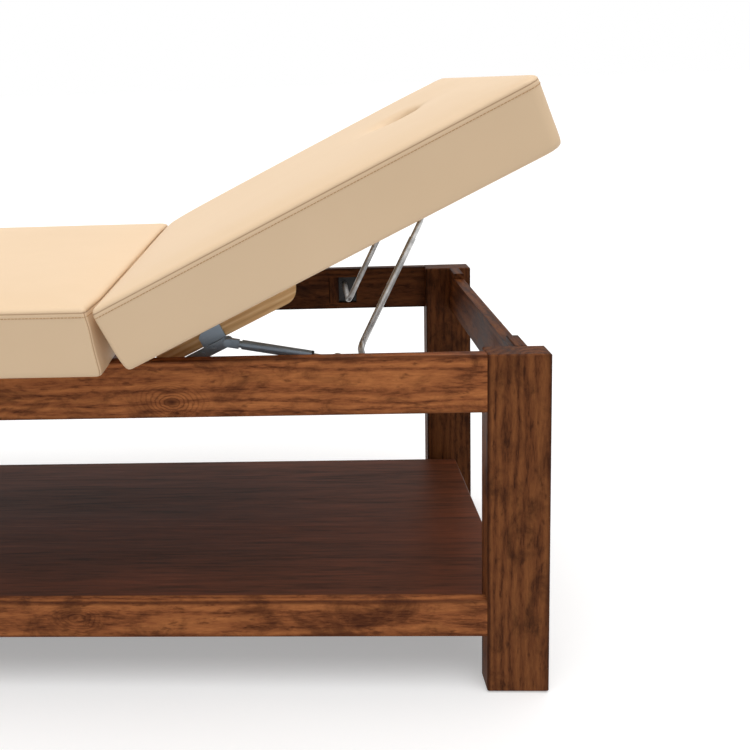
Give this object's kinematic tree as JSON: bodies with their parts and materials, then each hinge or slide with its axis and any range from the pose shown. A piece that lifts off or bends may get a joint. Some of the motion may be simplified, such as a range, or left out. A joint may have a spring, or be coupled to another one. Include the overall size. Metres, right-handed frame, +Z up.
{
  "type": "massage table",
  "caption": "Wooden massage table with a lower shelf, a padded flat section and a padded backrest that lifts on a folding prop and a strut.",
  "frame": {"origin": "on the floor, under the middle of the table's outline with the backrest raised as at rest", "axes": "+X to the head end, along the table's length; +Y from the front side, which carries the strut, to the rear side; +Z up"},
  "size_m": [1.8245, 0.7198, 0.955],
  "materials": {
    "stained_wood": "dark walnut stain, satin lacquer",
    "shelf_wood": "very dark stain, satin",
    "pale_wood": "planed, unfinished",
    "plywood": "sanded plywood",
    "upholstery": "cream vinyl, fine grain, semi-matt",
    "bright_rod": "bright zinc plated",
    "strut_steel": "grey-blue, satin",
    "dark_steel": "black, matt",
    "zinc_screws": "zinc plated",
    "seal_rubber": "matt"
  },
  "bodies": {
    "frame": {"cross_rail_1": "stained_wood", "cross_rail_2": "stained_wood", "cross_rail_3": "stained_wood", "end_rail_foot": "stained_wood", "end_rail_head": "stained_wood", "flat_board": "plywood", "flat_board_screws": "zinc_screws", "flat_cushion": "upholstery", "flat_end_board": "pale_wood", "hinge_leaves_fixed": "zinc_screws", "hinge_pins": "zinc_screws", "hinge_screws_fixed": "zinc_screws", "leg_front_foot": "stained_wood", "leg_front_head": "stained_wood", "leg_rear_foot": "stained_wood", "leg_rear_head": "stained_wood", "pivot_block_front": "stained_wood", "pivot_block_rear": "stained_wood", "pivot_plate_front": "dark_steel", "pivot_plate_rear": "dark_steel", "shelf_batten_1": "stained_wood", "shelf_batten_2": "stained_wood", "shelf_batten_3": "stained_wood", "shelf_board": "shelf_wood", "shelf_end_rail_foot": "stained_wood", "shelf_end_rail_head": "stained_wood", "shelf_ledger_front": "stained_wood", "shelf_ledger_rear": "stained_wood", "shelf_rail_front": "stained_wood", "shelf_rail_rear": "stained_wood", "side_rail_front": "stained_wood", "side_rail_rear": "stained_wood", "strut_bracket": "strut_steel", "strut_bracket_screws": "zinc_screws", "strut_clip": "zinc_screws"},
    "backrest": {"back_board": "plywood", "back_end_board": "pale_wood", "back_cushion": "upholstery", "bearer_front": "pale_wood", "bearer_rear": "pale_wood", "bearer_screws": "zinc_screws", "bearer_studs": "zinc_screws", "runner_front": "pale_wood", "runner_rear": "pale_wood", "strut_plate": "strut_steel", "strut_plate_screws": "zinc_screws", "strut_arm": "strut_steel", "hinge_leaves_moving": "zinc_screws", "hinge_screws_moving": "zinc_screws"},
    "prop": {"prop_tube_front": "bright_rod", "prop_tube_rear": "bright_rod", "prop_rod": "bright_rod"},
    "strut_rod": {"strut_rod": "bright_rod"},
    "strut_tube": {"strut_tube": "strut_steel", "strut_seal": "seal_rubber", "strut_lug": "strut_steel", "strut_rivet": "strut_steel"}
  },
  "joints": [
    {"name": "backrest_tilt", "type": "hinge", "parent": "frame", "child": "backrest", "pos_m": [0.256, 0, 0.6303], "axis": [0, -1, 0], "range_deg": [-26.4, 0]},
    {"name": "prop_fold", "type": "hinge", "parent": "frame", "child": "prop", "pos_m": [0.6415, 0, 0.514], "axis": [0, -1, 0], "range_deg": [-56.95, 0]},
    {"name": "strut_swing", "type": "hinge", "parent": "frame", "child": "strut_rod", "pos_m": [0.5985, -0.26, 0.533], "axis": [0, -1, 0], "range_deg": [0, 20.44]},
    {"name": "strut_slide", "type": "slide", "parent": "strut_rod", "child": "strut_tube", "axis": [-0.9837, 0, 0.1797], "range_m": [0, 0.04804]}
  ],
  "couplings": [
    {"joint": "prop_fold", "follows": "backrest_tilt", "ratio": 2.1571},
    {"joint": "strut_swing", "follows": "backrest_tilt", "ratio": -0.77424},
    {"joint": "strut_slide", "follows": "backrest_tilt", "m_per_rad": -0.10425}
  ]
}
